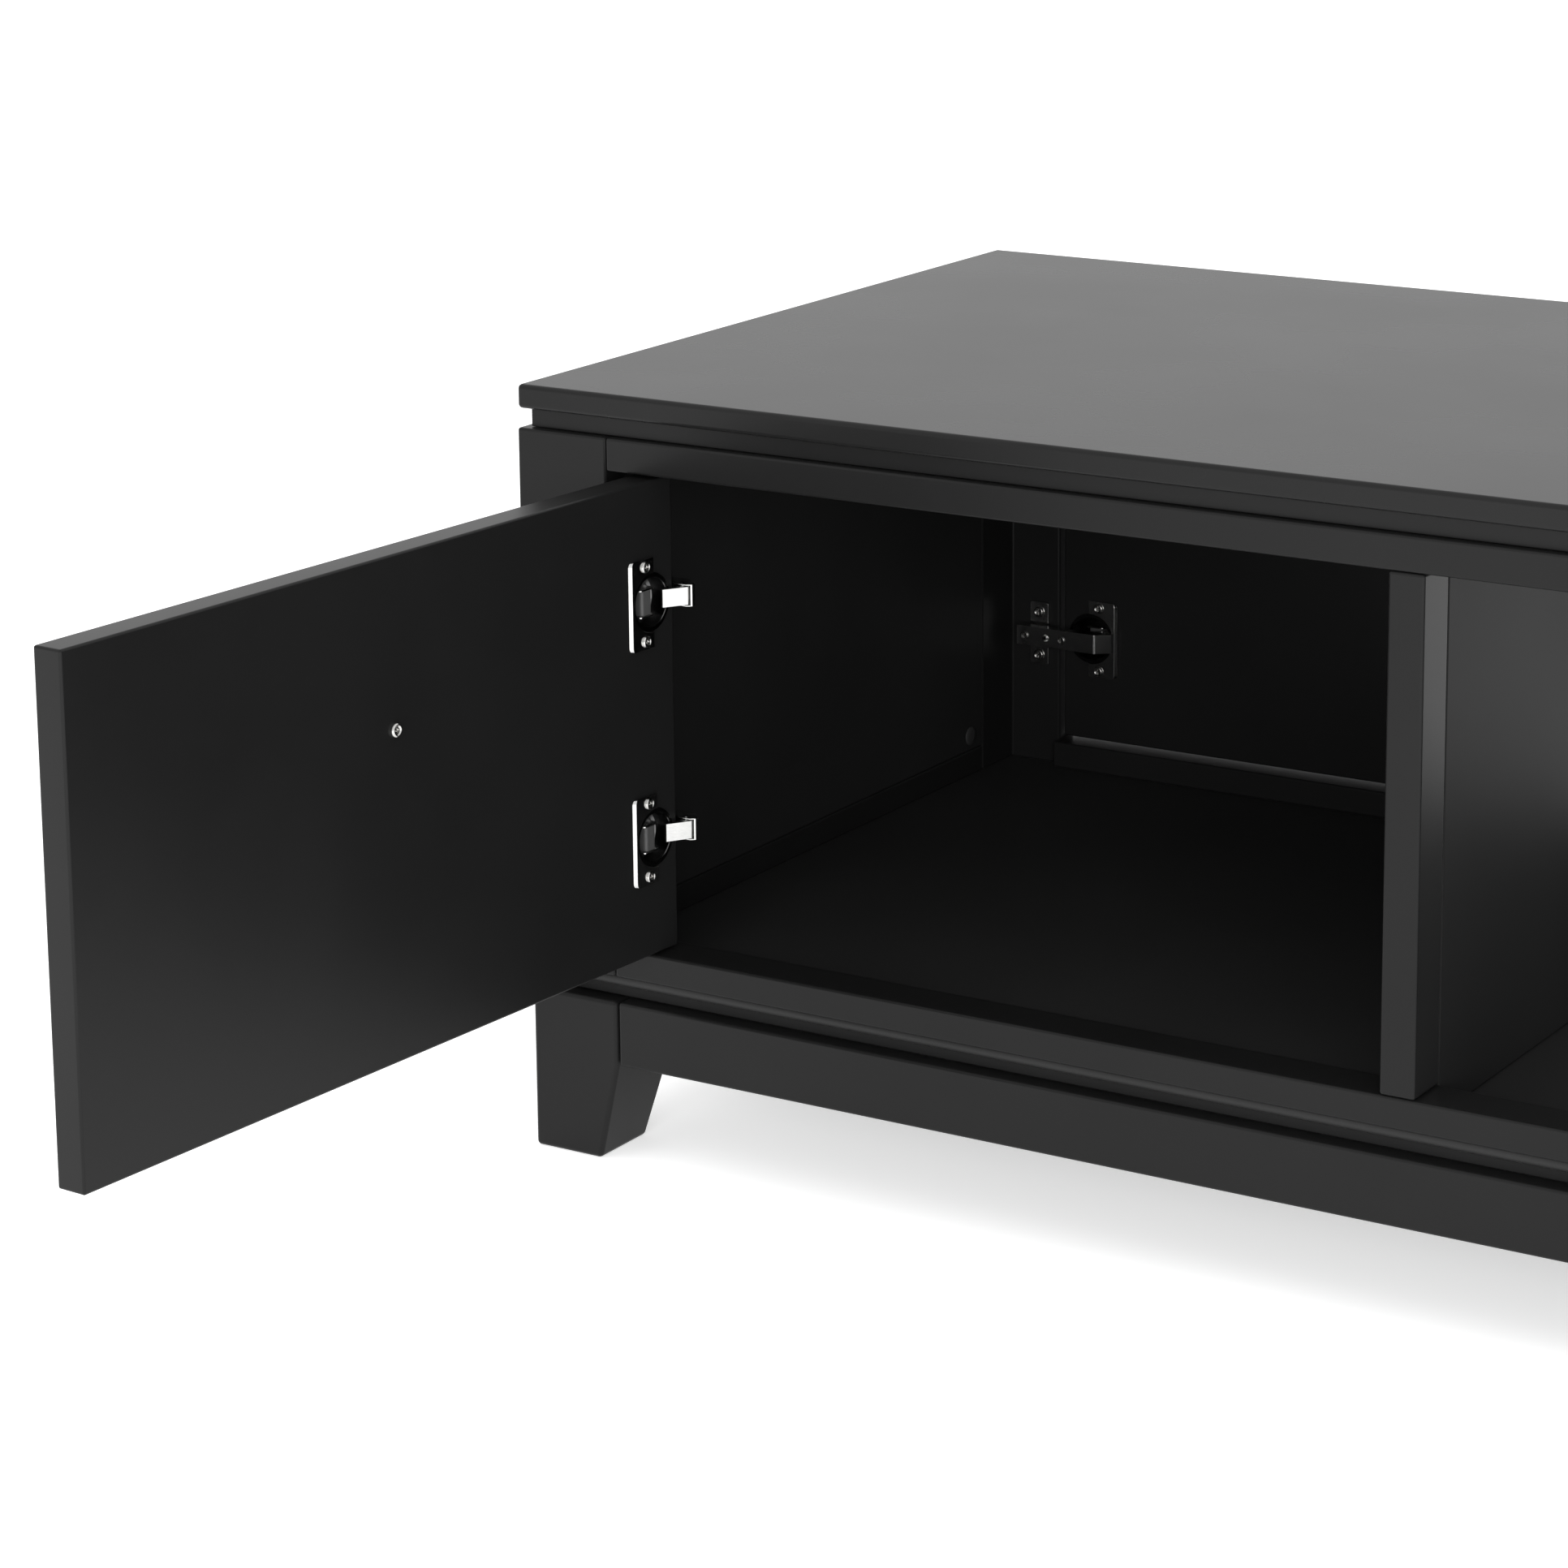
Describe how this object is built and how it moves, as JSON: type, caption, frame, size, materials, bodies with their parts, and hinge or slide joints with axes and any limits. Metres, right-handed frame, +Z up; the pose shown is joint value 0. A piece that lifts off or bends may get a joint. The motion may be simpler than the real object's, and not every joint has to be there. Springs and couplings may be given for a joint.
{
  "type": "media cabinet",
  "caption": "Low black lacquered cabinet on tapered legs, with an open middle bay between doored bays and one front door standing open.",
  "frame": {"origin": "middle of the base of the bounding box, at floor level, with the front left door at its rest opening of 93.5 degrees", "axes": "+X along the width to the right seen from the front, +Y from the front to the rear, +Z up"},
  "size_m": [1.796, 1.1421, 0.508],
  "materials": {
    "lacquer_frame": "satin black lacquer over wood",
    "lacquer_inside": "satin black lacquer over board",
    "lacquer_door": "satin black lacquer over board",
    "nickel": "bright nickel plate"
  },
  "bodies": {
    "carcass": {"top_slab": "lacquer_frame", "top_neck": "lacquer_inside", "bottom_board": "lacquer_inside", "base_spacer": "lacquer_inside", "rail_top_front": "lacquer_frame", "rail_bottom_front": "lacquer_frame", "apron_front": "lacquer_frame", "stile_front_left": "lacquer_frame", "leg_front_left": "lacquer_frame", "mullion_front_left": "lacquer_frame", "stile_front_right": "lacquer_frame", "leg_front_right": "lacquer_frame", "mullion_front_right": "lacquer_frame", "rail_top_rear": "lacquer_frame", "rail_bottom_rear": "lacquer_frame", "apron_rear": "lacquer_frame", "stile_rear_left": "lacquer_frame", "leg_rear_left": "lacquer_frame", "mullion_rear_left": "lacquer_frame", "stile_rear_right": "lacquer_frame", "leg_rear_right": "lacquer_frame", "mullion_rear_right": "lacquer_frame", "side_panel_left": "lacquer_frame", "partition_left": "lacquer_inside", "apron_left": "lacquer_frame", "side_panel_right": "lacquer_frame", "partition_right": "lacquer_inside", "apron_right": "lacquer_frame", "hinge_arm_front_left_upper": "nickel", "hinge_arm_front_left_lower": "nickel", "hinge_arm_front_right_upper": "nickel", "hinge_arm_front_right_lower": "nickel", "hinge_arm_rear_left_upper": "nickel", "hinge_arm_rear_left_lower": "nickel", "hinge_arm_rear_right_upper": "nickel", "hinge_arm_rear_right_lower": "nickel"},
    "door_front_left_body": {"door_front_left": "lacquer_door", "knob_front_left": "nickel", "hinge_cup_front_left_upper": "nickel", "hinge_cup_front_left_lower": "nickel"},
    "links_front_left": {"hinge_link_front_left_upper": "nickel", "hinge_link_front_left_lower": "nickel"},
    "door_front_right_body": {"door_front_right": "lacquer_door", "knob_front_right": "nickel", "hinge_cup_front_right_upper": "nickel", "hinge_cup_front_right_lower": "nickel"},
    "links_front_right": {"hinge_link_front_right_upper": "nickel", "hinge_link_front_right_lower": "nickel"},
    "door_rear_left_body": {"door_rear_left": "lacquer_door", "knob_rear_left": "nickel", "hinge_cup_rear_left_upper": "nickel", "hinge_cup_rear_left_lower": "nickel"},
    "links_rear_left": {"hinge_link_rear_left_upper": "nickel", "hinge_link_rear_left_lower": "nickel"},
    "door_rear_right_body": {"door_rear_right": "lacquer_door", "knob_rear_right": "nickel", "hinge_cup_rear_right_upper": "nickel", "hinge_cup_rear_right_lower": "nickel"},
    "links_rear_right": {"hinge_link_rear_right_upper": "nickel", "hinge_link_rear_right_lower": "nickel"}
  },
  "joints": [
    {"name": "door_front_left_hinge", "type": "hinge", "parent": "carcass", "child": "door_front_left_body", "pos_m": [-0.8114, -0.05465, 0.3023], "axis": [0, 0, 1], "range_deg": [-1.5, 93.5]},
    {"name": "links_front_left_pin", "type": "hinge", "parent": "carcass", "child": "links_front_left", "pos_m": [-0.7908, -0.03475, 0.3023], "axis": [0, 0, 1], "range_deg": [-75.8, 2.2]},
    {"name": "door_front_right_hinge", "type": "hinge", "parent": "carcass", "child": "door_front_right_body", "pos_m": [0.8114, -0.05465, 0.3023], "axis": [0, 0, 1], "range_deg": [0, 95]},
    {"name": "links_front_right_pin", "type": "hinge", "parent": "carcass", "child": "links_front_right", "pos_m": [0.7908, -0.03475, 0.3023], "axis": [0, 0, 1], "range_deg": [-77, 1]},
    {"name": "door_rear_left_hinge", "type": "hinge", "parent": "carcass", "child": "door_rear_left_body", "pos_m": [-0.8114, 0.54085, 0.3023], "axis": [0, 0, 1], "range_deg": [0, 95]},
    {"name": "links_rear_left_pin", "type": "hinge", "parent": "carcass", "child": "links_rear_left", "pos_m": [-0.7908, 0.52095, 0.3023], "axis": [0, 0, 1], "range_deg": [-77, 1]},
    {"name": "door_rear_right_hinge", "type": "hinge", "parent": "carcass", "child": "door_rear_right_body", "pos_m": [0.8114, 0.54085, 0.3023], "axis": [0, 0, 1], "range_deg": [-95, 0]},
    {"name": "links_rear_right_pin", "type": "hinge", "parent": "carcass", "child": "links_rear_right", "pos_m": [0.7908, 0.52095, 0.3023], "axis": [0, 0, 1], "range_deg": [-1, 77]}
  ],
  "couplings": [
    {"joint": "links_front_left_pin", "follows": "door_front_left_hinge", "ratio": -0.8},
    {"joint": "links_front_right_pin", "follows": "door_front_right_hinge", "ratio": -0.8},
    {"joint": "links_rear_left_pin", "follows": "door_rear_left_hinge", "ratio": -0.8},
    {"joint": "links_rear_right_pin", "follows": "door_rear_right_hinge", "ratio": -0.8}
  ]
}
